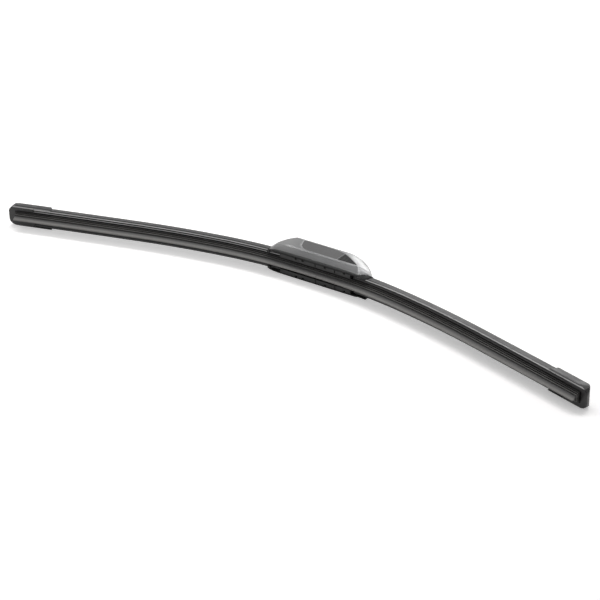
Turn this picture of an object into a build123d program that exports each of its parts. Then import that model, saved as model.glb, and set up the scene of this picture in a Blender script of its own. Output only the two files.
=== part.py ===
from build123d import *
import math
import os

os.makedirs("parts", exist_ok=True)

# Blade length along the bow, and the bow: straight in the connector, then three arcs on each side
BLADE_LENGTH = 475.0
BOW_CORE = 8.0
BOW_STATIONS = (0.295, 0.59, 1.0)
BOW_RADII = (373.0, 701.0, 8000.0)

# Spring rails: flat steel strips on both sides of the rubber's web
RAIL_WIDTH = 4.2
RAIL_THICK = 0.9
RAIL_INNER = 1.25
FIT = 0.05

# Wiping rubber
RUBBER_HEAD_TOP = 1.9
RUBBER_HEAD_HALF = 2.7
RUBBER_FOOT_HALF = 2.9
RIB_HALF = 3.9
RIB_COUNT = 3
RIB_TOP = -2.5
RIB_PITCH = 1.1
RIB_STEP = 0.65
RIB_DEPTH = 0.55
LIP_TIP = -8.8
LIP_HALF = 0.35

# Spoiler section
SPOILER_HALF = 7.2
SPOILER_TOP_HALF = 5.8
SPOILER_TOP = 4.8
SPOILER_DISH = 0.7
SPOILER_FOOT = -1.6

# End caps
CAP_LENGTH = 31.5
CAP_WALL = 0.8
CAP_PLATE_LENGTH = 19.5
CAP_PLATE = 0.6
CAP_END_ROUND = 9.0
CAP_CORNER_LENGTH = 8.0
CAP_CORNER_WIDTH = 4.5

# Connector: base and cover share one outline
COVER_LEFT = -38.0
COVER_RIGHT = 43.2
COVER_HALF = 8.4
COVER_WALL = 1.1
COVER_TOP = 21.9
COVER_TOP_HALF = 7.5
COVER_RIDGE = 7.1
MOUTH_LOW = 37.3
MOUTH_HIGH = 43.0
FLANGE_LEFT = 2.0
FLANGE_RIGHT = 38.5
FLANGE_TOP = -3.35
FLANGE_BOTTOM = -4.5
BASE_LEFT = -25.5
BASE_RIGHT = 32.0
BASE_HALF = 7.0
DECK = 3.2
COLLAR_END = 44.5
COLLAR_WALL = 0.55
COLLAR_BOTTOM = -3.4
GROOVE_STATIONS = (3.7, 19.4)
SNAP_STATIONS = (-12.1, -6.6, 11.5, 26.9)
SNAP_HALF = 0.8
SNAP_INNER = 6.3

# Pivot and arm adapter
PIN_X = 0.5
PIN_DIAMETER = 5.0
PIN_FIT = 0.04
HOOK_GAP = 4.5
NOSE_RADIUS = 3.8
ADAPTER_HALF = 5.2
ADAPTER_LENGTH = 22.0
ARM_WIDTH = 9.0
SLOT_LEFT = -11.5
SLOT_RIGHT = 32.0
SLOT_HALF = 5.4
CHEEK_INNER = 5.3
CHEEK_OUTER = 6.5

HALF = BLADE_LENGTH / 2
PIN_Y = DECK + HOOK_GAP + NOSE_RADIUS


def bow(s):
    """Point on the bow at station s and the angle that the bow has turned there."""
    side = 1.0 if s >= 0 else -1.0
    left = abs(s)
    x = min(left, BOW_CORE)
    y = 0.0
    angle = 0.0
    start = BOW_CORE
    for share, radius in zip(BOW_STATIONS, BOW_RADII):
        run = min(left, share * HALF) - start
        if run <= 0:
            break
        turned = angle + run / radius
        x += radius * (math.sin(turned) - math.sin(angle))
        y += radius * (math.cos(turned) - math.cos(angle))
        angle = turned
        start = share * HALF
    return side * x, y, side * angle


def bow_path(s0, s1):
    """The part of the bow from s0 to s1 as lines and tangent arcs."""
    knots = [BOW_CORE] + [share * HALF for share in BOW_STATIONS[:-1]]
    inner = [k for k in [-q for q in reversed(knots)] + knots if s0 < k < s1]
    stations = [s0] + inner + [s1]
    edges = []
    for a, b in zip(stations, stations[1:]):
        start = bow(a)[:2]
        middle = bow((a + b) / 2)[:2]
        end = bow(b)[:2]
        if max(abs(a), abs(b)) <= BOW_CORE:
            edges.append(Edge.make_line(start, end))
        else:
            edges.append(Edge.make_three_point_arc(start, middle, end))
    return Wire(edges)


def along_bow(section, s0, s1):
    """Sweep a section, drawn as (height, width), along the bow."""
    x, y, angle = bow(s0)
    plane = Plane(
        origin=(x, y, 0),
        x_dir=(math.sin(angle), math.cos(angle), 0),
        z_dir=(math.cos(angle), -math.sin(angle), 0),
    )
    return sweep(plane * section, path=bow_path(s0, s1))


def mirrored(points):
    """Close a half outline, drawn from the top middle to the bottom middle, over the middle line."""
    other = [(h, -w) for h, w in reversed(points) if w > 0]
    return make_face(Polyline(*points, *other, close=True))


def prism(points, depth):
    """Extrude a side view, drawn as (length, height), to both sides."""
    face = make_face(Polyline(*points, close=True))
    return extrude(face, amount=depth, both=True)


def block(x0, x1, y0, y1, z0, z1):
    """Box between two corners."""
    box = Box(x1 - x0, y1 - y0, z1 - z0)
    return Pos((x0 + x1) / 2, (y0 + y1) / 2, (z0 + z1) / 2) * box


def pair(x0, x1, y0, y1, z0, z1):
    """The same box on both sides of the middle plane."""
    return block(x0, x1, y0, y1, z0, z1) + block(x0, x1, y0, y1, -z1, -z0)


# Wiping rubber: head, web between the rails, foot, hinge neck, ribbed shoulder and lip
slot = RAIL_THICK / 2 + FIT
web = RAIL_INNER - FIT
ribs = [(RIB_TOP + 0.2, 0.6)]
for k in range(RIB_COUNT):
    rib_top = RIB_TOP - RIB_PITCH * k
    rib_half = RIB_HALF - RIB_STEP * k
    ribs.append((rib_top, rib_half))
    ribs.append((rib_top - 0.5, rib_half))
    ribs.append((rib_top - 0.65, rib_half - RIB_STEP - RIB_DEPTH + 0.2))
    ribs.append((rib_top - RIB_PITCH + 0.1, rib_half - RIB_STEP - RIB_DEPTH))
rubber_section = mirrored([
    (RUBBER_HEAD_TOP, 0.0),
    (RUBBER_HEAD_TOP, RUBBER_HEAD_HALF - 0.3),
    (RUBBER_HEAD_TOP - 0.3, RUBBER_HEAD_HALF),
    (slot, RUBBER_HEAD_HALF),
    (slot, web),
    (-slot, web),
    (-slot, RUBBER_FOOT_HALF),
    (-1.6, RUBBER_FOOT_HALF),
    (-1.75, 0.6),
    *ribs,
    (LIP_TIP + 0.9, LIP_HALF + 0.2),
    (LIP_TIP, LIP_HALF),
    (LIP_TIP, 0.0),
])
RUBBER_END = HALF - 6.0
RAIL_END = HALF - 7.5
wiping_rubber = along_bow(rubber_section, -RUBBER_END, RUBBER_END)

# Spring rails
rail_middle = RAIL_INNER + RAIL_WIDTH / 2
rail_front = along_bow(Pos(0, rail_middle) * Rectangle(RAIL_THICK, RAIL_WIDTH), -RAIL_END, RAIL_END)
rail_rear = along_bow(Pos(0, -rail_middle) * Rectangle(RAIL_THICK, RAIL_WIDTH), -RAIL_END, RAIL_END)

# Spoilers: feet under the rails, a hollow for the rubber's head, a dished back
rail_outer = RAIL_INNER + RAIL_WIDTH + FIT
head_half = RUBBER_HEAD_HALF + FIT
head_top = RUBBER_HEAD_TOP + FIT
foot_half = RUBBER_FOOT_HALF + 0.2
flank = (SPOILER_HALF - SPOILER_TOP_HALF) / (SPOILER_TOP - SPOILER_FOOT)


def spoiler_outline(grow):
    """Outer right side of the spoiler section, from the foot to the edge of the back."""
    return [
        (SPOILER_FOOT - grow, SPOILER_HALF - 0.3 + grow),
        (SPOILER_FOOT + 0.25, SPOILER_HALF + grow),
        (SPOILER_TOP - 0.5, SPOILER_TOP_HALF + 0.5 * flank + grow),
        (SPOILER_TOP - 0.15, SPOILER_TOP_HALF - 0.1 + grow),
        (SPOILER_TOP + grow, SPOILER_TOP_HALF - 0.5 + grow),
    ]


def spoiler_face():
    outer = spoiler_outline(0.0)
    inner = [
        (SPOILER_FOOT, foot_half),
        (-slot, foot_half),
        (-slot, rail_outer),
        (slot, rail_outer),
        (slot, head_half),
        (head_top, head_half),
    ]
    right = list(reversed(inner)) + outer
    left = [(h, -w) for h, w in right]
    back = ThreePointArc(right[-1], (SPOILER_TOP - SPOILER_DISH, 0), left[-1])
    roof = Line(right[0], left[0])
    return make_face(Polyline(*right) + back + Polyline(*left) + roof)


SPOILER_INNER_LEFT = BASE_LEFT - 1.5
SPOILER_INNER_RIGHT = BASE_RIGHT + 1.5
SPOILER_OUTER = HALF - 13.5
spoiler_left = along_bow(spoiler_face(), -SPOILER_OUTER, SPOILER_INNER_LEFT)
spoiler_right = along_bow(spoiler_face(), SPOILER_INNER_RIGHT, SPOILER_OUTER)

# End cap, drawn straight with its middle at the origin and its closed end at +X
cap_half = SPOILER_HALF + CAP_WALL
cap_end = CAP_LENGTH / 2
cap_top = SPOILER_TOP + CAP_WALL + 0.1
cap_bottom = SPOILER_FOOT - 0.1 - CAP_PLATE
CAP_STATION = HALF - cap_end


def lengthwise(face, x0, x1):
    """Extrude a section, drawn as (height, width), along X from x0 to x1."""
    plane = Plane(origin=(x0, 0, 0), x_dir=(0, 1, 0), z_dir=(1, 0, 0))
    return extrude(plane * face, amount=x1 - x0)


cap_section = make_face(Polyline(
    (cap_bottom, cap_half - 0.5),
    (cap_bottom + 0.5, cap_half),
    (SPOILER_FOOT + 0.9, cap_half),
    (cap_top - 0.7, SPOILER_TOP_HALF + CAP_WALL + 0.1),
    (cap_top, SPOILER_TOP_HALF + CAP_WALL - 0.7),
    (cap_top, -SPOILER_TOP_HALF - CAP_WALL + 0.7),
    (cap_top - 0.7, -SPOILER_TOP_HALF - CAP_WALL - 0.1),
    (SPOILER_FOOT + 0.9, -cap_half),
    (cap_bottom + 0.5, -cap_half),
    (cap_bottom, -cap_half + 0.5),
    close=True,
))
drop = cap_top - cap_bottom
bend_radius = (CAP_END_ROUND ** 2 + drop ** 2) / (2 * drop)
half_turn = math.asin(CAP_END_ROUND / bend_radius) / 2
bend_start = (cap_end - CAP_END_ROUND, cap_top)
bend_middle = (
    bend_start[0] + bend_radius * math.sin(half_turn),
    cap_top - bend_radius * (1 - math.cos(half_turn)),
)
cap_side = make_face(
    Polyline((cap_end, cap_bottom), (-cap_end - 1.1, cap_bottom), (-cap_end + 1.1, cap_top), bend_start)
    + ThreePointArc(bend_start, bend_middle, (cap_end, cap_bottom))
)
cap = lengthwise(cap_section, -cap_end - 2, cap_end)
cap = cap & extrude(cap_side, amount=20, both=True)
cap_plan = [(-cap_end - 3, cap_half)]
for angle in (0, 22.5, 45, 67.5, 90):
    turn = math.radians(angle)
    reach = CAP_CORNER_LENGTH * (1 - math.sin(turn))
    cap_plan.append((cap_end - reach, cap_half - CAP_CORNER_WIDTH * (1 - math.cos(turn))))
cap_plan += [(x, -w) for x, w in reversed(cap_plan)]
cap = cap & (Rot(90, 0, 0) * extrude(make_face(Polyline(*cap_plan, close=True)), amount=40, both=True))
pocket_side = [(SPOILER_TOP + 0.1, 0.0)] + list(reversed(spoiler_outline(0.1)))
spoiler_pocket = mirrored(pocket_side + [(SPOILER_FOOT - 0.1, 0.0)])
pocket_end = SPOILER_OUTER - CAP_STATION + 0.3
plate_start = cap_end - CAP_PLATE_LENGTH
cap -= lengthwise(spoiler_pocket, -cap_end - 3, pocket_end)
cap -= block(-cap_end - 3, plate_start, cap_bottom - 1, 0, -SPOILER_HALF, SPOILER_HALF)
rail_room = rail_outer + 0.1
head_room = head_half + 0.1
rubber_stop = RUBBER_END - CAP_STATION + 0.8
cap -= block(0, RAIL_END - CAP_STATION + 0.4, -slot - 0.05, slot + 0.05, -rail_room, rail_room)
cap -= block(-cap_end - 3, rubber_stop, cap_bottom - 1, 0, -foot_half, foot_half)
rib_room = RIB_HALF + 0.2
cap -= block(-cap_end - 3, rubber_stop, cap_bottom - 1, SPOILER_FOOT - 0.1, -rib_room, rib_room)
cap -= block(0, rubber_stop, -slot - 0.1, head_top + 0.1, -head_room, head_room)
cap_x, cap_y, cap_angle = bow(CAP_STATION)
end_cap_right = Pos(cap_x, cap_y, 0) * Rot(0, 0, -math.degrees(cap_angle)) * cap
end_cap_left = mirror(end_cap_right, about=Plane.YZ)


# The cover's back runs out in three wheels: the hood's broad shoulders, its crown and the nose
HOOD_CENTRE = (0.2, -21.2)
HOOD_CREASE = 42.0
HOOD_BEND = 17.0
HOOD_TURN = (6.0, 45.0)
CROWN_CENTRE = (10.2, -16.3)
CROWN_OUTLINE = 39.3
CROWN_SHOULDER = 4.0
NOSE_CENTRE = (-7.9, 0.4)
NOSE_OUTLINE = 30.5
NOSE_SHOULDER = 5.0
NOSE_CORNER = 3.4
SHOULDER = 1.5

# Ridge bead between the cover's lower band and its leaning flanks
BEAD = 0.25
FLANK_START = 0.7
FLANK_HALF = COVER_HALF - 0.35
FLANK_LEAN = math.degrees(math.atan2(FLANK_HALF - COVER_TOP_HALF, COVER_TOP - COVER_RIDGE - FLANK_START))


def plan_outline(inset, right):
    """Outline of the connector seen along its height, as (length, width)."""
    half = COVER_HALF - inset
    left = COVER_LEFT + inset
    side = [
        (left, half - 3.4),
        (left + 1.0, half - 2.0),
        (left + 3.2, half - 0.9),
        (left + 7.0, half - 0.25),
        (left + 12.0, half),
        (right - 3.4, half),
        (right - 1.4, half - 0.3),
        (right, half - 0.9),
    ]
    return side + [(x, -w) for x, w in reversed(side)]


def cover_section(inset, steps):
    """Section of the cover: walls, a bead along each ridge, leaning flanks, round shoulders, back."""
    radius = SHOULDER - inset * 0.6
    roof = COVER_TOP - inset
    lean_turn = math.radians(FLANK_LEAN)
    edge = COVER_TOP_HALF - inset + math.tan(lean_turn) * inset
    reach = radius * math.tan((math.pi / 2 - lean_turn) / 2)
    start = (roof - reach * math.cos(lean_turn), edge + reach * math.sin(lean_turn))
    wall = [
        (FLANGE_TOP, COVER_HALF - inset),
        (COVER_RIDGE - 0.9, COVER_HALF - BEAD - inset),
        (COVER_RIDGE - 0.5, COVER_HALF - 0.05 - inset),
        (COVER_RIDGE, COVER_HALF - inset),
        (COVER_RIDGE + 0.4, COVER_HALF - 0.1 - inset),
        (COVER_RIDGE + FLANK_START, FLANK_HALF - inset),
        *rim_arc(start, radius, (FLANK_LEAN, 90.0), steps),
    ]
    return make_face(Polyline(*wall, *[(h, -w) for h, w in reversed(wall)], close=True))


def rim_arc(start, radius, turn, steps):
    """Points on a wheel's rim that leaves start at the first angle and bends round to the second."""
    points = []
    for k in range(steps + 1):
        angle = math.radians(turn[0] + (turn[1] - turn[0]) * k / steps)
        run = math.sin(angle) - math.sin(math.radians(turn[0]))
        drop = math.cos(math.radians(turn[0])) - math.cos(angle)
        points.append((start[0] + radius * run, start[1] - radius * drop))
    return points


def wheel(centre, flat, arc, bend):
    """Solid of revolution across the connector; its rim is drawn as (radius, width)."""
    back = [(r, -w) for r, w in reversed(arc)]
    rim = Polyline((0, flat[1]), flat, arc[0]) + bend(*arc)
    rim += Line(arc[-1], back[0])
    rim += bend(*back)
    rim += Polyline(back[-1], (flat[0], -flat[1]), (0, -flat[1]), (0, flat[1]))
    plane = Plane(origin=(centre[0], centre[1], 0), x_dir=(1, 0, 0), z_dir=(0, -1, 0))
    return revolve(plane * make_face(rim), axis=Axis((centre[0], centre[1], 0), (0, 0, 1)))


def cover_body(inset):
    """Outer form of the cover, or the same form drawn in by the wall, with plain chamfers."""
    bend = Polyline if inset else ThreePointArc
    half = COVER_HALF + 0.1 - inset
    section = cover_section(inset, 2 if inset else 4)
    body = lengthwise(section, COVER_LEFT - 1, COVER_RIGHT + 1)
    plan = make_face(Polyline(*plan_outline(inset, COVER_RIGHT - inset), close=True))
    body = body & (Rot(90, 0, 0) * extrude(plan, amount=40, both=True))
    crease = HOOD_CREASE - inset * 0.3
    broad = rim_arc((crease, half - 0.55), HOOD_BEND - inset, HOOD_TURN, 2)
    hood = wheel(HOOD_CENTRE, (crease - 1.4, half), broad, bend)
    hood += block(COVER_LEFT - 5, HOOD_CENTRE[0], -30, 40, -20, 20)
    body = body & hood
    radius = CROWN_SHOULDER - inset * 0.5
    edge = rim_arc((CROWN_OUTLINE - inset - radius, half), radius, (0.0, 90.0), 4)
    crown = wheel(CROWN_CENTRE, (5.0, half), edge, Polyline)
    crown += block(COVER_LEFT - 5, CROWN_CENTRE[0], -30, 40, -20, 20)
    body = body & crown
    radius = NOSE_SHOULDER - inset * 0.5
    edge = rim_arc((NOSE_OUTLINE - inset - radius, half), radius, (0.0, 90.0), 4)
    nose = wheel(NOSE_CENTRE, (5.0, half), edge, Polyline)
    nose += block(NOSE_CENTRE[0], COVER_RIGHT + 5, -30, 40, -20, 20)
    return body & nose


def nose_corner():
    """What is cut off to round the edge between the cover's back and its nose."""
    rise = COVER_TOP - NOSE_CENTRE[1]
    run = math.sqrt(NOSE_OUTLINE ** 2 - rise ** 2)
    corner = NOSE_CENTRE[0] - run
    turn = math.asin(run / NOSE_OUTLINE)
    start = (corner + NOSE_CORNER, COVER_TOP)
    end = (corner - NOSE_CORNER * math.cos(turn), COVER_TOP - NOSE_CORNER * math.sin(turn))
    radius = NOSE_CORNER / math.tan(turn / 2)
    middle = (start[0] - radius * math.sin(turn / 2), COVER_TOP - radius * (1 - math.cos(turn / 2)))
    outer = (end[0] - 8 * math.sin(turn), end[1] + 8 * math.cos(turn))
    outline = ThreePointArc(start, middle, end) + Polyline(end, outer, (start[0], COVER_TOP + 8), start)
    return extrude(make_face(outline), amount=20, both=True)


def mouth(grow, bottom):
    """Spoiler outline with some air round it, drawn on down to the bottom."""
    side = [(SPOILER_TOP + grow, 0.0)] + list(reversed(spoiler_outline(grow)))[:-1]
    return mirrored(side + [(bottom, SPOILER_HALF + grow), (bottom, 0.0)])


# Cover: shell open below and along the back for the arm, with a mouth for each spoiler
cover = cover_body(0.0) - nose_corner()
cover -= cover_body(COVER_WALL)
lean = (MOUTH_HIGH - MOUTH_LOW) / (SPOILER_TOP - FLANGE_TOP)
mouth_side = [(MOUTH_LOW - lean, FLANGE_TOP - 1), (MOUTH_HIGH + lean * 4, SPOILER_TOP + 4)]
cover -= prism(mouth_side + [(COVER_RIGHT + 20, SPOILER_TOP + 4), (COVER_RIGHT + 20, FLANGE_TOP - 1)], 20)
cover -= block(SLOT_LEFT, SLOT_RIGHT, DECK, COVER_TOP + 5, -SLOT_HALF, SLOT_HALF)
for x in SNAP_STATIONS:
    reach = SNAP_HALF - 0.15
    outer = COVER_HALF - COVER_WALL + FIT
    cover += pair(x - reach, x + reach, FLANGE_TOP + 0.5, 1.0, SNAP_INNER + 0.1, outer)
cover -= along_bow(mouth(0.2, FLANGE_TOP - 3), COVER_LEFT - 3, BASE_LEFT)
cover -= along_bow(mouth(COLLAR_WALL + FIT, FLANGE_TOP - 3), BASE_RIGHT - 0.2, COLLAR_END + 5)

# Flank inlays: a plane panel and a ribbed grip, let into each flank
INLAY = 0.4
flank_turn = math.radians(FLANK_LEAN)
flank_plane = Plane(
    origin=(0, COVER_RIDGE + FLANK_START, FLANK_HALF),
    x_dir=(1, 0, 0),
    z_dir=(0, math.sin(flank_turn), math.cos(flank_turn)),
)
panel_face = make_face(Polyline(
    (-11.5, 0.3),
    (-14.0, 0.9),
    (-16.3, 2.5),
    (-18.2, 4.6),
    (-19.5, 7.2),
    (-20.5, 10.2),
    (-20.9, 12.2),
    (2.5, 12.2),
    (7.8, 11.7),
    (13.2, 10.4),
    (12.9, 0.3),
    close=True,
))
grip_face = make_face(Polyline(
    (13.3, 0.3),
    (13.6, 10.2),
    (16.6, 8.7),
    (20.0, 6.8),
    (23.2, 4.8),
    (26.4, 2.6),
    (29.6, 0.3),
    close=True,
))


def inlay(face, depth):
    """Sink a face drawn on the flank by depth."""
    return extrude(flank_plane * face, amount=-depth)


panel_front = inlay(panel_face, INLAY)
grip_front = inlay(grip_face, INLAY)
panel_rear = mirror(panel_front, about=Plane.XY)
grip_rear = mirror(grip_front, about=Plane.XY)
for sunk in (panel_front, grip_front, panel_rear, grip_rear):
    cover -= sunk
for k in range(5):
    rise = 1.4 + 1.7 * k
    groove = flank_plane * Pos(21.5, rise, 0) * Box(20.0, 0.7, 0.4)
    grip_front -= groove
    grip_rear -= mirror(groove, about=Plane.XY)

# Base: flange under the cover, body with claws round the rails, collar at the arm's end, pin cheeks
flange = make_face(Polyline(*plan_outline(0.0, FLANGE_RIGHT), close=True))
flange_plane = Plane(origin=(0, FLANGE_TOP, 0), x_dir=(1, 0, 0), z_dir=(0, -1, 0))
base = extrude(flange_plane * flange, amount=FLANGE_TOP - FLANGE_BOTTOM)
rim_inner = SPOILER_HALF + 0.2
base -= block(COVER_LEFT - 1, COVER_LEFT + FLANGE_LEFT, FLANGE_BOTTOM - 1, 0, -20, 20)
base -= block(COVER_LEFT - 1, BASE_LEFT, FLANGE_BOTTOM - 1, 0, -RIB_HALF - 1.2, RIB_HALF + 1.2)
base -= block(COVER_LEFT + 4, BASE_LEFT, FLANGE_BOTTOM - 1, 0, -rim_inner, rim_inner)
base -= block(BASE_RIGHT, COLLAR_END + 1, FLANGE_BOTTOM - 1, 0, -rim_inner, rim_inner)
base += block(BASE_LEFT, BASE_RIGHT, FLANGE_TOP, DECK, -BASE_HALF, BASE_HALF)
collar = along_bow(mouth(COLLAR_WALL, COLLAR_BOTTOM), BASE_RIGHT, COLLAR_END)
base += collar - along_bow(mouth(0.1, COLLAR_BOTTOM - 1), BASE_RIGHT - 1, COLLAR_END + 1)
blade_void = mirrored([
    (head_top, 0.0),
    (head_top, head_half),
    (slot, head_half),
    (slot, rail_outer),
    (-slot, rail_outer),
    (-slot, foot_half),
    (-1.8, foot_half),
    (-2.2, RIB_HALF + 0.3),
    (FLANGE_BOTTOM - 3.0, RIB_HALF + 1.2),
    (FLANGE_BOTTOM - 3.0, 0.0),
])
base -= along_bow(blade_void, -45.0, 45.0)
cheek = block(PIN_X - 8, PIN_X + 8, DECK - 0.5, PIN_Y + 4.6, CHEEK_INNER, CHEEK_OUTER)
base += cheek
base += mirror(cheek, about=Plane.XY)
base -= Pos(PIN_X, PIN_Y, 0) * Cylinder(PIN_DIAMETER / 2, 40)
for x in GROOVE_STATIONS:
    base -= pair(x - 0.3, x + 0.3, FLANGE_BOTTOM - 1, FLANGE_BOTTOM + 0.7, 3.0, COVER_HALF - 0.8)
snap_outer = COVER_HALF - COVER_WALL + 0.1
for x in SNAP_STATIONS:
    base -= pair(x - SNAP_HALF, x + SNAP_HALF, FLANGE_BOTTOM - 1, 1.2, SNAP_INNER, snap_outer)

# Pivot pin
pivot_pin = Pos(PIN_X, PIN_Y, 0) * Cylinder(PIN_DIAMETER / 2, 2 * CHEEK_OUTER)

# Arm adapter: round nose on the pin, seat for the arm's hook between two guides
top = PIN_Y + NOSE_RADIUS
low = PIN_Y - NOSE_RADIUS
tail = PIN_X + ADAPTER_LENGTH
adapter = Pos(PIN_X, PIN_Y, 0) * Cylinder(NOSE_RADIUS, 2 * ADAPTER_HALF)
adapter += prism([(PIN_X, top), (tail, top), (tail, low + 3), (tail - 6, low), (PIN_X, low)], ADAPTER_HALF)
guide_side = [(PIN_X + 2, top - 1), (PIN_X + 4, top + 2), (tail - 5, top + 2), (tail - 2, top - 1)]
guide = prism(guide_side, ADAPTER_HALF)
guide -= block(-40, 60, 0, 40, -ARM_WIDTH / 2 - 0.15, ARM_WIDTH / 2 + 0.15)
adapter += guide
adapter -= Pos(PIN_X, PIN_Y, 0) * Cylinder(PIN_DIAMETER / 2 + PIN_FIT, 40)
adapter -= block(PIN_X + 7, tail - 4, low - 1, top - 1.6, -ADAPTER_HALF + 1.4, ADAPTER_HALF - 1.4)

# Rest on the floor: lying on the flange's edge and on the two end caps
support = cap_end - CAP_CORNER_LENGTH
lowest_cap = cap_y - math.sin(cap_angle) * support + math.cos(cap_angle) * (cap_bottom + 0.5)
tilt = math.degrees(math.atan2(COVER_HALF - cap_half, FLANGE_BOTTOM - lowest_cap))

pieces = {
    "wiping_rubber": wiping_rubber,
    "spring_rail_front": rail_front,
    "spring_rail_rear": rail_rear,
    "spoiler_left": spoiler_left,
    "spoiler_right": spoiler_right,
    "end_cap_left": end_cap_left,
    "end_cap_right": end_cap_right,
    "connector_base": base,
    "connector_cover": cover,
    "side_panel_front": panel_front,
    "side_panel_rear": panel_rear,
    "grip_front": grip_front,
    "grip_rear": grip_rear,
    "pivot_pin": pivot_pin,
    "arm_adapter": adapter,
}
tilted = {name: Rot(tilt, 0, 0) * shape for name, shape in pieces.items()}
box = Compound(children=[Part(shape.wrapped) for shape in tilted.values()]).bounding_box()
rest = Pos(-(box.min.X + box.max.X) / 2, -(box.min.Y + box.max.Y) / 2, -box.min.Z)
for name, shape in tilted.items():
    export_step(rest * shape, "parts/" + name + ".step")
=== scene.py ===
import math

import bpy
from mathutils import Matrix, Vector

# Millimetres in a metre
MM = 1000.0

# The bow of the blade in millimetres: half of its straight middle, the ends and radii of its arcs,
# and where and how its crown lies over the floor
BOW_CORE = 8.0
BOW_ENDS = (70.06, 140.1, 237.5)
BOW_RADII = (373.0, 701.0, 8000.0)
REST_Y = 15.62
REST_Z = 8.44
REST_TILT = math.radians(0.5533)

# Camera: angles in degrees, distance in metres, film and lens in millimetres, and the pixel on which
# the crown of the bow falls in a picture 600 pixels wide
AZIMUTH = 34.35
ELEVATION = 29.77
ROLL = -1.0
DISTANCE = 1.4
SENSOR = 36.0
LENS = 123.24
PICTURE = 600.0
CROWN = Vector((0.0, REST_Y / MM, REST_Z / MM))
CROWN_PIXEL = (314.4, 269.6)

# Soft lamps: place, aim and size in metres, and power in watts
LAMPS = {
    "overhead": ((-0.3, 0.52, 1.4), (-0.1, 0.0, 0.0), (1.8, 0.45), 14.5),
    "front": ((-0.8, -0.45, 1.3), (0.0, 0.0, 0.0), (1.6, 0.4), 3.0),
    "back": ((-0.32, 2.8, 1.03), (0.05, 0.0, 0.02), (2.1, 0.85), 18.5),
}

# Surroundings: strength of the low sweep and of the ceiling, and the sines of the elevations between
# which one turns into the other
SWEEP_STRENGTHS = (0.7, 0.28)
SWEEP_RISE = (0.1, 0.42)

# Floor: size in metres, colour, and its glow at two places along X
FLOOR_SIZE = 8.0
FLOOR_COLOUR = (0.872, 0.858, 0.856, 1.0)
FLOOR_GLOW_X = (-0.22, 0.22)
FLOOR_GLOW = (0.475, 0.35)

# Parts of a noise's range that a ramp spreads out, from the widest to the narrowest
WIDE = (0.2, 0.8)
HALF = (0.25, 0.75)
MIDDLE = (0.3, 0.7)
NARROW = (0.35, 0.65)

# Detail and roughness of the noises for grain and for drawn lines, and detail of the one for patches
GRAIN_DETAIL = 3.0
GRAIN_ROUGHNESS = 0.55
LINE_DETAIL = 4.0
LINE_ROUGHNESS = 0.6
PATCH_DETAIL = 2.0

# Depth of grain and of fine grain in metres, how far a grey varies about its middle, and what a
# material has where nothing else is said
GRAIN_DEPTH = 0.0001
FINE_DEPTH = 0.00005
CONTRAST = (0.8, 1.2)
NEUTRAL = (1.0, 1.0, 1.0)
PLAIN_SPECULAR = 0.5

# Painted highlights show less on the side that lies on the floor, which gets less light: where that
# side begins, in millimetres of width, and the shares on both sides
UPPER_SIDE = (-1.0, 1.0)
LIT_SIDE_SHARES = (0.12, 1.0)

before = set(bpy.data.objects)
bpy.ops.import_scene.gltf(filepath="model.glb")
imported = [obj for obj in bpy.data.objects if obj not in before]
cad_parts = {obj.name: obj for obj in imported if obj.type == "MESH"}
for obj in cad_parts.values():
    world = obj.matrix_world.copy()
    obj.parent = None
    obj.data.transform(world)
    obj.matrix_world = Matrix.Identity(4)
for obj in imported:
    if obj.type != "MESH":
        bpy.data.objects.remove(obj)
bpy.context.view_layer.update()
scene = bpy.context.scene


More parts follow.
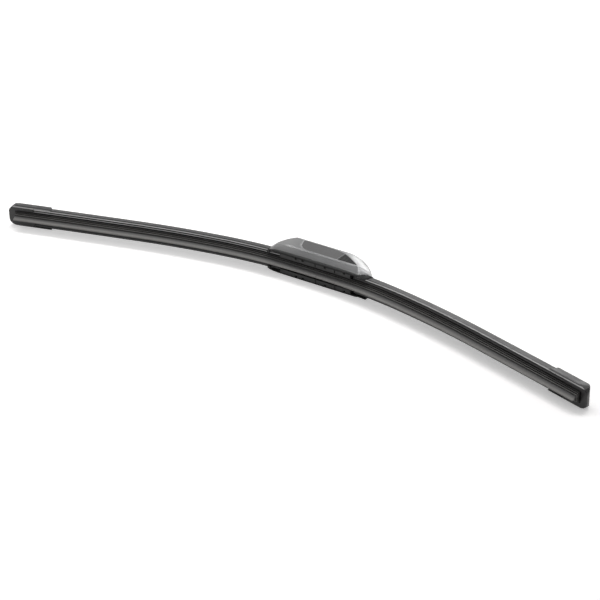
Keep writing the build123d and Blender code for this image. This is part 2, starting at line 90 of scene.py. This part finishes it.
class NodeNet:
    """A node tree with short calls for the nodes used here."""

    # Samples of a rounded edge, and the sockets of a Mix node that take and give colours
    BEVEL_SAMPLES = 6
    MIX_FIRST = 6
    MIX_SECOND = 7
    MIX_RESULT = 2

    def __init__(self, tree):
        self.tree = tree

    def node(self, kind, **settings):
        made = self.tree.nodes.new("ShaderNode" + kind)
        for key, value in settings.items():
            setattr(made, key, value)
        return made

    def put(self, socket, value):
        if isinstance(value, bpy.types.NodeSocket):
            self.tree.links.new(value, socket)
        else:
            socket.default_value = value

    def math(self, operation, a, b=0.0):
        made = self.node("Math", operation=operation)
        self.put(made.inputs[0], a)
        self.put(made.inputs[1], b)
        return made.outputs[0]

    def plus(self, a, b):
        return self.math("ADD", a, b)

    def minus(self, a, b):
        return self.math("SUBTRACT", a, b)

    def times(self, a, b):
        return self.math("MULTIPLY", a, b)

    def larger(self, a, b):
        return self.math("MAXIMUM", a, b)

    def under(self, a, limit):
        return self.math("LESS_THAN", a, limit)

    def length(self, a, b):
        return self.math("SQRT", self.plus(self.times(a, a), self.times(b, b)))

    def ramp(self, value, limits, ends=(0.0, 1.0)):
        made = self.node("MapRange", interpolation_type="SMOOTHSTEP")
        for socket, number in zip(made.inputs, (value, *limits, *ends)):
            self.put(socket, number)
        return made.outputs[0]

    def mix(self, share, a, b):
        made = self.node("Mix", data_type="RGBA")
        self.put(made.inputs["Factor"], share)
        self.put(made.inputs[self.MIX_FIRST], a)
        self.put(made.inputs[self.MIX_SECOND], b)
        return made.outputs[self.MIX_RESULT]

    def noise(self, vector, scale, detail=GRAIN_DETAIL, rough=GRAIN_ROUGHNESS):
        made = self.node("TexNoise")
        self.put(made.inputs["Vector"], vector)
        made.inputs["Scale"].default_value = scale
        made.inputs["Detail"].default_value = detail
        made.inputs["Roughness"].default_value = rough
        return made.outputs["Fac"]

    def bump(self, height, strength, distance, normal=None):
        made = self.node("Bump")
        made.inputs["Strength"].default_value = strength
        made.inputs["Distance"].default_value = distance
        self.put(made.inputs["Height"], height)
        if normal is not None:
            self.put(made.inputs["Normal"], normal)
        return made.outputs["Normal"]

    def rounded(self, radius):
        made = self.node("Bevel", samples=self.BEVEL_SAMPLES)
        made.inputs["Radius"].default_value = radius
        return made.outputs["Normal"]

    def combine(self, x, y, z):
        made = self.node("CombineXYZ")
        for socket, value in zip(made.inputs, (x, y, z)):
            self.put(socket, value)
        return made.outputs[0]

    def coordinates(self, kind):
        made = self.node("SeparateXYZ")
        self.put(made.inputs[0], self.node("TexCoord").outputs[kind])
        return made.outputs


def bow_group():
    """Node group for a point's place along the blade, height over the rails and width, in mm."""
    group = bpy.data.node_groups.new("blade_coordinates", "ShaderNodeTree")
    for name in ("Along", "Height", "Width"):
        group.interface.new_socket(name, in_out="OUTPUT", socket_type="NodeSocketFloat")
    net = NodeNet(group)
    point = net.coordinates("Object")
    x = net.times(point[0], MM)
    y = net.minus(net.times(point[1], MM), REST_Y)
    z = net.minus(net.times(point[2], MM), REST_Z)
    cos = math.cos(REST_TILT)
    sin = math.sin(REST_TILT)
    rise = net.plus(net.times(y, cos), net.times(z, sin))
    width = net.minus(net.times(z, cos), net.times(y, sin))
    reach = net.math("ABSOLUTE", x)
    height = rise
    start = BOW_CORE
    arc_x = BOW_CORE
    arc_y = 0.0
    angle = 0.0
    for end, radius in zip(BOW_ENDS, BOW_RADII):
        centre_x = arc_x - radius * math.sin(angle)
        centre_y = arc_y - radius * math.cos(angle)
        spoke = net.length(net.minus(reach, centre_x), net.minus(rise, centre_y))
        past = net.math("GREATER_THAN", reach, arc_x)
        change = net.minus(net.minus(spoke, radius), height)
        height = net.plus(height, net.times(past, change))
        angle += (end - start) / radius
        arc_x = centre_x + radius * math.sin(angle)
        arc_y = centre_y + radius * math.cos(angle)
        start = end
    result = group.nodes.new("NodeGroupOutput")
    for socket, value in zip(result.inputs, (x, height, width)):
        group.links.new(value, socket)
    return group


BOW = bow_group()


def material(name, specular=PLAIN_SPECULAR):
    """New material with its node tree, its surface node and the blade's coordinates."""
    made = bpy.data.materials.new(name)
    made.use_nodes = True
    net = NodeNet(made.node_tree)
    surface = made.node_tree.nodes["Principled BSDF"]
    surface.inputs["Specular IOR Level"].default_value = specular
    place = net.node("Group", node_tree=BOW)
    return made, net, surface, place.outputs


def dress(net, surface, colour, roughness, normal):
    """Joins what varies over a material to its surface."""
    net.put(surface.inputs["Base Color"], colour)
    net.put(surface.inputs["Roughness"], roughness)
    net.put(surface.inputs["Normal"], normal)


def streaks(net, place, per_mm):
    """Fine lines that follow the blade, as an extruded section has."""
    along, across = per_mm
    u = net.times(place["Along"], along)
    v = net.times(place["Height"], across)
    w = net.times(place["Width"], across)
    return net.noise(net.combine(u, v, w), 1.0, LINE_DETAIL, LINE_ROUGHNESS)


def points(net, place):
    """The blade's coordinates as a vector in mm, for grain."""
    return net.combine(place["Along"], place["Height"], place["Width"])


def side(net, place):
    """Distance from the middle of the blade's width, in mm."""
    return net.math("ABSOLUTE", place["Width"])


def band(net, value, middle, extent):
    """One inside a band, falling softly to nothing on both sides of it."""
    half, soft = extent
    off = net.math("ABSOLUTE", net.minus(value, middle))
    return net.ramp(off, (half + soft, half - soft))


def lit_side(net, place):
    """One on the lit upper side of the blade, little on the side that lies on the floor, for painted
    highlights.
    """
    return net.ramp(place["Width"], UPPER_SIDE, LIT_SIDE_SHARES)


def around(middle, half):
    """Two values at the same distance from a middle one."""
    return middle - half, middle + half


def tone(grey, tint=NEUTRAL):
    """Opaque colour of a grey with a tint."""
    return tuple(grey * share for share in tint) + (1.0,)


def mottled(net, share, grey, tint):
    """Colour that varies about a grey."""
    dark, pale = CONTRAST
    return net.mix(share, tone(grey * dark, tint), tone(grey * pale, tint))


# Rubber: scales of its drawn lines and grain for each millimetre, and radius of its edges in metres
RUBBER_SPECULAR = 0.45
RUBBER_LINES = (0.012, 5.0)
RUBBER_GRAIN = 3.0
RUBBER_GRAIN_SHARE = 0.3
RUBBER_RELIEF = 0.25
RUBBER_EDGE = 0.0002
RUBBER_BLACK = 0.005
RUBBER_TINT = (1.03, 1.0, 0.96)
RUBBER_ROUGHNESS = (0.42, 0.58)

# Lip and ribs of the rubber, in millimetres: the lip's start, depth and greys from root to edge, a
# grey coat that is partly real graphite and partly painted sheen, the heights and greys of the painted
# highlights on the rib edges, and their half width and softness
LIP_START = -5.6
LIP_DEPTH = 2.9
LIP_GREYS = (0.025, 0.17)
RIB_HIGHLIGHTS = ((-2.75, 0.05), (-3.85, 0.1), (-4.95, 0.16))
RIB_HIGHLIGHT_BAND = (0.25, 0.1)


def rubber_material():
    """Black rubber: painted rib highlights and groove shade, and a lip paled by graphite and painted
    sheen.
    """
    made, net, surface, place = material("wiping_rubber", RUBBER_SPECULAR)
    height = place["Height"]
    lines = streaks(net, place, RUBBER_LINES)
    # Grey lip coat, partly real graphite and partly painted sheen, paler towards its edge
    coat_and_sheen = net.ramp(height, (LIP_START, LIP_START - LIP_DEPTH), LIP_GREYS)
    value = net.times(coat_and_sheen, net.under(height, LIP_START))
    # Painted highlights on the rib edges
    for middle, grey in RIB_HIGHLIGHTS:
        value = net.larger(value, net.times(band(net, height, middle, RIB_HIGHLIGHT_BAND), grey))
    value = net.times(value, net.ramp(lines, HALF, CONTRAST))
    # Painted shade: the grooves and the rubber above the ribs keep this near black
    value = net.larger(value, RUBBER_BLACK)
    colour = net.node("CombineColor")
    for socket, share in zip(colour.inputs, RUBBER_TINT):
        net.put(socket, net.times(value, share))
    rough = net.ramp(lines, WIDE, RUBBER_ROUGHNESS)
    grain = net.noise(points(net, place), RUBBER_GRAIN)
    relief = net.plus(lines, net.times(grain, RUBBER_GRAIN_SHARE))
    normal = net.bump(relief, RUBBER_RELIEF, GRAIN_DEPTH, net.rounded(RUBBER_EDGE))
    dress(net, surface, colour.outputs[0], rough, normal)
    return made


# Spoilers: scales of their drawn lines, grain and dull patches for each millimetre, and radius of
# their edges in metres
SPOILER_SPECULAR = 0.14
SPOILER_GREYS = (0.034, 0.05)
SPOILER_ROUGHNESS = (0.28, 0.36)
SPOILER_LINES = (0.01, 3.0)
SPOILER_LINE_SHARE = 0.7
SPOILER_GRAIN = 4.0
SPOILER_GRAIN_SHARE = 0.4
SPOILER_RELIEF = 0.2
SPOILER_EDGE = 0.0008
SPOILER_PATCHES = 0.06
SPOILER_PATCH_RANGE = (0.45, 0.75)
SPOILER_PATCH_SHARE = 0.35
SPOILER_PATCH_GREY = 0.06

# Beads of the spoilers' underside, in millimetres: where that side begins, each bead's distance from
# the middle with its half width and softness, how the outer one shifts and the inner one fades along
# the blade, the pale grey painted on them as highlight, and their relief in metres
UNDERSIDE = (-1.2, -1.5)
OUTER_BEAD = 6.35
OUTER_BEAD_BAND = (0.4, 0.2)
OUTER_SHIFT_ALONG = (30.0, 80.0)
OUTER_SHIFT = (0.0, 0.4)
INNER_BEAD = 4.7
INNER_BEAD_BAND = (0.3, 0.2)
INNER_FADE_ALONG = (-30.0, 30.0)
INNER_FADE = (0.7, 0.1)
BEAD_HIGHLIGHT_GREY = 0.75
BEAD_RELIEF = 0.0004


def spoiler_beads(net, place):
    """Share of the two beads along the spoilers' underside, which carry a painted highlight."""
    along = place["Along"]
    across = side(net, place)
    shifted = net.minus(across, net.ramp(along, OUTER_SHIFT_ALONG, OUTER_SHIFT))
    outer = band(net, shifted, OUTER_BEAD, OUTER_BEAD_BAND)
    inner = band(net, across, INNER_BEAD, INNER_BEAD_BAND)
    inner = net.times(inner, net.ramp(along, INNER_FADE_ALONG, INNER_FADE))
    below = net.times(net.ramp(place["Height"], UNDERSIDE), lit_side(net, place))
    return net.times(net.larger(outer, inner), below)


def spoiler_material():
    """Satin black extrusion: fine drawn lines, dull patches, and beads with a painted highlight."""
    made, net, surface, place = material("spoiler", SPOILER_SPECULAR)
    where = points(net, place)
    lines = streaks(net, place, SPOILER_LINES)
    patches = net.noise(where, SPOILER_PATCHES, PATCH_DETAIL)
    beads = spoiler_beads(net, place)
    dark, pale = SPOILER_GREYS
    colour = net.mix(net.ramp(lines, MIDDLE), tone(dark), tone(pale))
    dull = net.times(net.ramp(patches, SPOILER_PATCH_RANGE), SPOILER_PATCH_SHARE)
    colour = net.mix(dull, colour, tone(SPOILER_PATCH_GREY))
    # Painted highlight on the beads; their relief below is real
    colour = net.mix(beads, colour, tone(BEAD_HIGHLIGHT_GREY))
    rough = net.ramp(patches, MIDDLE, SPOILER_ROUGHNESS)
    grain = net.times(net.noise(where, SPOILER_GRAIN), SPOILER_GRAIN_SHARE)
    relief = net.plus(net.times(lines, SPOILER_LINE_SHARE), grain)
    fine = net.bump(relief, SPOILER_RELIEF, GRAIN_DEPTH, net.rounded(SPOILER_EDGE))
    dress(net, surface, colour, rough, net.bump(beads, 1.0, BEAD_RELIEF, fine))
    return made


# Mouldings: grey, roughness, size of the grain in millimetres and its relief, radius of the edges in
# metres. A highlight line is the width and the height, in millimetres, at which a painted highlight
# runs along an edge, with painted shade on the underside below it; a painted shade is the place along
# the blade and the width past which a moulding is darkened as painted shade and made rougher
MOULDINGS = {
    "end_cap": {
        "grey": 0.02, "roughness": 0.42, "grain": 0.3, "relief": 0.2, "edge": 0.0007,
        "highlight_line": (7.3, -1.7),
    },
    "connector_base": {
        "grey": 0.013, "roughness": 0.5, "grain": 0.35, "relief": 0.2, "edge": 0.00025,
        "tint": (0.99, 1.0, 0.97), "painted_shade": (31.5, 7.15),
    },
    "grip": {"grey": 0.02, "roughness": 0.5, "grain": 0.25, "relief": 0.3, "edge": 0.00015},
    "arm_adapter": {"grey": 0.028, "roughness": 0.45, "grain": 0.35, "relief": 0.2, "edge": 0.0003},
}
PIT_ROUGHNESS = 0.6
MOULDED_SPREAD = 0.06
MOULDED_PATCHES = 0.15
MOULDED_PATCH_RANGE = (0.4, 0.8)
MOULDED_PATCH_SHARE = 0.3
HIGHLIGHT_LINE_BAND = (0.35, 0.2)
HIGHLIGHT_LINE_GREY = 0.5
UNDERSIDE_FADE = 0.3
SHADE_ALONG_FADE = 0.5
SHADE_WIDTH_FADE = 0.1
SHADE_ROUGHNESS = 0.3

# Times a moulding's own grey: in its patches, as painted shade on the underside below a highlight
# line, and as painted shade where it is made rougher
PATCH_FACTOR = 1.7
SHADED_UNDERSIDE_FACTOR = 0.4
SHADE_FACTOR = 0.3


def moulded_material(name, grey, roughness, grain, relief, edge, tint=NEUTRAL, highlight_line=None, painted_shade=None):
    """Moulded black plastic with an eroded grain, a painted highlight line over painted shade, or
    painted shade.
    """
    made, net, surface, place = material(name)
    where = points(net, place)
    pits = net.noise(where, 1.0 / grain, GRAIN_DETAIL, PIT_ROUGHNESS)
    patches = net.noise(where, MOULDED_PATCHES, PATCH_DETAIL)
    colour = mottled(net, net.ramp(pits, NARROW), grey, tint)
    pale = net.times(net.ramp(patches, MOULDED_PATCH_RANGE), MOULDED_PATCH_SHARE)
    colour = net.mix(pale, colour, tone(grey * PATCH_FACTOR, tint))
    rough = net.ramp(patches, MIDDLE, around(roughness, MOULDED_SPREAD))
    # Painted highlight along an edge, and painted shade on the underside below it
    if highlight_line:
        width, height = highlight_line
        highlight = net.times(band(net, side(net, place), width, HIGHLIGHT_LINE_BAND), lit_side(net, place))
        below = net.ramp(place["Height"], (height, height - UNDERSIDE_FADE))
        colour = net.mix(below, colour, tone(grey * SHADED_UNDERSIDE_FACTOR, tint))
        colour = net.mix(net.times(highlight, below), colour, tone(HIGHLIGHT_LINE_GREY, tint))
    # Painted shade on the flange's rim and the collar, which are also made rougher
    if painted_shade:
        along, width = painted_shade
        rim = net.ramp(side(net, place), around(width, SHADE_WIDTH_FADE))
        collar = net.ramp(place["Along"], around(along, SHADE_ALONG_FADE))
        dull = net.larger(rim, collar)
        colour = net.mix(dull, colour, tone(grey * SHADE_FACTOR, tint))
        rough = net.plus(rough, net.times(dull, SHADE_ROUGHNESS))
    dress(net, surface, colour, rough, net.bump(pits, relief, GRAIN_DEPTH, net.rounded(edge)))
    return made


# Lacquer of the cover: scales of its patches, flakes and orange peel for each millimetre, the flakes'
# greys and tint, its clear coat, and radius of its edges and depth of the peel in metres
SILVER_SPECULAR = 0.6
SILVER_METAL = 0.85
SILVER_ROUGHNESS = (0.32, 0.35)
SILVER_PATCHES = 0.12
SILVER_EDGE = 0.0022
FLAKES = 9.0
FLAKE_GREYS = (0.255, 0.295)
FLAKE_TINT = (0.99, 1.0, 1.01)
COAT = 0.3
COAT_ROUGHNESS = 0.1
PEEL = 0.6
PEEL_RELIEF = 0.02
PEEL_DEPTH = 0.0002

# Paler stretches of the cover along the blade, which are painted highlight, and the heights over which
# painted shade darkens it downwards, ending in a painted shadow line at its lower edge, with the
# share and the grey that each reaches, in millimetres
NOSE_ALONG = (-8.0, -34.0)
NOSE_HIGHLIGHT_GREY = 0.44
HOOD_ALONG = (-2.0, 12.0)
HOOD_HIGHLIGHT_ALONG = (10.0, 24.0)
HOOD_HIGHLIGHT_GREY = 0.37
COVER_PAINTED_SHADES = (
    ((6.8, 5.8), 0.4, 0.16),
    ((4.5, -3.5), 0.6, 0.14),
    ((-1.1, -2.3), 0.95, 0.03),
)

# Soft shoulder of the hood in millimetres: centre and radius of its edge along the cover, its depth,
# its slope at the edge and the heights where it fades out
HOOD_CENTRE = (6.07, -7.0)
HOOD_EDGE = 28.63
HOOD_SOFT = 4.5
HOOD_SLOPE = 0.25
HOOD_FOOT = (6.5, 9.0)

# Bare plastic of the cover, in millimetres: the cover's middle along the blade and over the crown,
# from which its inner faces are told, and the face and the top of its snap tabs
COVER_ALONG = 3.0
COVER_HEIGHT = 4.0
TAB_FACE = 7.28
TAB_TOP = 2.5
BARE_GREY = 0.022
BARE_ROUGHNESS = 0.2


def bare_share(net, place):
    """One on the cover's inner faces and snap tabs, which have no lacquer."""
    coordinates = net.node("TexCoord")
    spoke = net.node("VectorMath", operation="SUBTRACT")
    net.put(spoke.inputs[0], coordinates.outputs["Object"])
    spoke.inputs[1].default_value = (COVER_ALONG / MM, (REST_Y + COVER_HEIGHT) / MM, REST_Z / MM)
    outward = net.node("VectorMath", operation="DOT_PRODUCT")
    net.put(outward.inputs[0], spoke.outputs[0])
    net.put(outward.inputs[1], coordinates.outputs["Normal"])
    inside = net.under(outward.outputs["Value"], 0.0)
    tabs = net.under(side(net, place), TAB_FACE)
    tabs = net.times(tabs, net.under(place["Height"], TAB_TOP))
    return net.larger(inside, tabs)


def shoulder(net, place):
    """Height in mm, nought or less, by which the hood falls away towards its edge."""
    across = net.minus(place["Along"], HOOD_CENTRE[0])
    above = net.minus(place["Height"], HOOD_CENTRE[1])
    past = net.minus(net.length(across, above), HOOD_EDGE - HOOD_SOFT)
    past = net.math("MINIMUM", net.larger(past, 0.0), HOOD_SOFT)
    return net.times(net.times(past, past), -HOOD_SLOPE / (2.0 * HOOD_SOFT))


def silver_material():
    """Silver-grey lacquer outside and bare dark plastic inside: fine flakes under a clear coat."""
    made, net, surface, place = material("cover_silver", SILVER_SPECULAR)
    where = points(net, place)
    along = place["Along"]
    height = place["Height"]
    flakes = net.node("TexVoronoi")
    net.put(flakes.inputs["Vector"], where)
    flakes.inputs["Scale"].default_value = FLAKES
    spark = net.node("SeparateColor")
    net.put(spark.inputs[0], flakes.outputs["Color"])
    dark, pale = FLAKE_GREYS
    colour = net.mix(spark.outputs[0], tone(dark, FLAKE_TINT), tone(pale, FLAKE_TINT))
    # Painted highlight paling the nose and the hood
    colour = net.mix(net.ramp(along, NOSE_ALONG), colour, tone(NOSE_HIGHLIGHT_GREY))
    hood = net.times(net.ramp(along, HOOD_ALONG), net.ramp(height, HOOD_FOOT))
    colour = net.mix(net.times(hood, net.ramp(along, HOOD_HIGHLIGHT_ALONG)), colour, tone(HOOD_HIGHLIGHT_GREY))
    # Painted shade darkening the cover downwards, to a painted shadow line at its lower edge
    for heights, share, grey in COVER_PAINTED_SHADES:
        colour = net.mix(net.ramp(height, heights, (0.0, share)), colour, tone(grey))
    bare = bare_share(net, place)
    colour = net.mix(bare, colour, tone(BARE_GREY))
    gloss = net.ramp(net.noise(where, SILVER_PATCHES, PATCH_DETAIL), MIDDLE, SILVER_ROUGHNESS)
    rough = net.plus(gloss, net.times(bare, BARE_ROUGHNESS))
    soft = net.bump(net.times(shoulder(net, place), hood), 1.0, 1.0 / MM, net.rounded(SILVER_EDGE))
    peel = net.noise(where, PEEL, PATCH_DETAIL)
    dress(net, surface, colour, rough, net.bump(peel, PEEL_RELIEF, PEEL_DEPTH, soft))
    net.put(surface.inputs["Metallic"], net.ramp(bare, (0.0, 1.0), (SILVER_METAL, 0.0)))
    surface.inputs["Coat Weight"].default_value = COAT
    surface.inputs["Coat Roughness"].default_value = COAT_ROUGHNESS
    return made


# Inlays of the cover's flanks: greys and tint, scales of their grain and paler patches for each
# millimetre, and radius of their edges in metres
PANEL_SPECULAR = 0.45
PANEL_GREYS = (0.092, 0.115)
PANEL_TINT = (1.0, 0.99, 0.99)
PANEL_ROUGHNESS = (0.4, 0.5)
PANEL_GRAIN = 6.0
PANEL_RELIEF = 0.12
PANEL_EDGE = 0.0001
PANEL_PATCHES = 0.2
PANEL_PATCH_SHARE = 0.3
PANEL_PATCH_GREY = 0.125


def panel_material():
    """Plain grey satin inlay with a very fine grain."""
    made, net, surface, place = material("side_panel", PANEL_SPECULAR)
    where = points(net, place)
    grain = net.noise(where, PANEL_GRAIN)
    patches = net.noise(where, PANEL_PATCHES, PATCH_DETAIL)
    dark, pale = PANEL_GREYS
    colour = net.mix(net.ramp(grain, NARROW), tone(dark, PANEL_TINT), tone(pale, PANEL_TINT))
    colour = net.mix(net.times(patches, PANEL_PATCH_SHARE), colour, tone(PANEL_PATCH_GREY))
    rough = net.ramp(patches, MIDDLE, PANEL_ROUGHNESS)
    normal = net.bump(grain, PANEL_RELIEF, FINE_DEPTH, net.rounded(PANEL_EDGE))
    dress(net, surface, colour, rough, normal)
    return made


# Steels: grey, roughness and tint of each, and scales of their drawn lines for each millimetre
STEELS = {
    "spring_steel": (0.42, 0.35, (0.97, 1.0, 1.05)),
    "pin_steel": (0.55, 0.28, (1.0, 1.0, 1.01)),
}
STEEL_LINES = (0.02, 8.0)
STEEL_SPREAD = 0.08
STEEL_RELIEF = 0.1


def steel_material(name, grey, roughness, tint):
    """Drawn steel with fine lines along the blade."""
    made, net, surface, place = material(name)
    lines = streaks(net, place, STEEL_LINES)
    rough = net.ramp(lines, WIDE, around(roughness, STEEL_SPREAD))
    normal = net.bump(lines, STEEL_RELIEF, FINE_DEPTH)
    dress(net, surface, mottled(net, lines, grey, tint), rough, normal)
    surface.inputs["Metallic"].default_value = 1.0
    return made


steel = {name: steel_material(name, *look) for name, look in STEELS.items()}
rubber = rubber_material()
spoiler = spoiler_material()
moulded = {name: moulded_material(name, **look) for name, look in MOULDINGS.items()}
silver = silver_material()
panel = panel_material()

FINISH = {
    "wiping_rubber": rubber,
    "spring_rail_front": steel["spring_steel"],
    "spring_rail_rear": steel["spring_steel"],
    "spoiler_left": spoiler,
    "spoiler_right": spoiler,
    "end_cap_left": moulded["end_cap"],
    "end_cap_right": moulded["end_cap"],
    "connector_base": moulded["connector_base"],
    "connector_cover": silver,
    "side_panel_front": panel,
    "side_panel_rear": panel,
    "grip_front": moulded["grip"],
    "grip_rear": moulded["grip"],
    "pivot_pin": steel["pin_steel"],
    "arm_adapter": moulded["arm_adapter"],
}
for name, finish in FINISH.items():
    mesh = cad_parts[name].data
    mesh.materials.clear()
    mesh.materials.append(finish)


def floor_material():
    """White floor: the camera sees it a little over white where nothing shades it."""
    made = bpy.data.materials.new("floor")
    made.use_nodes = True
    net = NodeNet(made.node_tree)
    made.node_tree.nodes.clear()
    plain = net.node("BsdfDiffuse")
    plain.inputs["Color"].default_value = FLOOR_COLOUR
    glow = net.node("Emission")
    path = net.node("LightPath")
    seen = net.larger(path.outputs["Is Camera Ray"], path.outputs["Is Glossy Ray"])
    level = net.ramp(net.coordinates("Object")[0], FLOOR_GLOW_X, FLOOR_GLOW)
    net.put(glow.inputs["Strength"], net.times(seen, level))
    both = net.node("AddShader")
    net.put(both.inputs[0], plain.outputs[0])
    net.put(both.inputs[1], glow.outputs[0])
    out = net.node("OutputMaterial")
    net.put(out.inputs["Surface"], both.outputs[0])
    return made


bpy.ops.mesh.primitive_plane_add(size=FLOOR_SIZE, location=(0.0, 0.0, 0.0))
floor = bpy.context.object
floor.name = "floor"
floor.data.materials.append(floor_material())


def world_light():
    """Studio surroundings: a white sweep low down that falls off to a dim ceiling."""
    world = bpy.data.worlds.new("studio")
    world.use_nodes = True
    scene.world = world
    net = NodeNet(world.node_tree)
    background = world.node_tree.nodes["Background"]
    background.inputs["Color"].default_value = tone(1.0)
    toward = net.coordinates("Generated")
    net.put(background.inputs["Strength"], net.ramp(toward[2], SWEEP_RISE, SWEEP_STRENGTHS))


def softbox(name, place, aim, size, watts):
    """Rectangular soft lamp turned to a point."""
    lamp = bpy.data.lights.new(name, "AREA")
    lamp.shape = "RECTANGLE"
    lamp.size, lamp.size_y = size
    lamp.energy = watts
    made = bpy.data.objects.new(name, lamp)
    made.location = place
    made.rotation_euler = (Vector(aim) - Vector(place)).to_track_quat("-Z", "Y").to_euler()
    scene.collection.objects.link(made)


def place_camera():
    """Camera on the lip's side, aimed so that the crown falls on its pixel."""
    azimuth = math.radians(AZIMUTH)
    elevation = math.radians(ELEVATION)
    roll = math.radians(ROLL)
    back = Vector((
        math.sin(azimuth) * math.cos(elevation),
        -math.cos(azimuth) * math.cos(elevation),
        math.sin(elevation),
    ))
    level = Vector((math.cos(azimuth), math.sin(azimuth), 0.0))
    upright = back.cross(level)
    right = level * math.cos(roll) + upright * math.sin(roll)
    up = upright * math.cos(roll) - level * math.sin(roll)
    pixel = DISTANCE * SENSOR / LENS / PICTURE
    aim = CROWN - right * (CROWN_PIXEL[0] - PICTURE / 2) * pixel
    aim -= up * (PICTURE / 2 - CROWN_PIXEL[1]) * pixel
    lens = bpy.data.cameras.new("camera")
    lens.lens = LENS
    lens.sensor_width = SENSOR
    camera = bpy.data.objects.new("camera", lens)
    camera.location = aim + back * DISTANCE
    camera.rotation_euler = Matrix((right, up, back)).transposed().to_euler()
    scene.collection.objects.link(camera)
    scene.camera = camera


world_light()
for name, setting in LAMPS.items():
    softbox(name, *setting)
place_camera()
scene.view_settings.view_transform = "Standard"
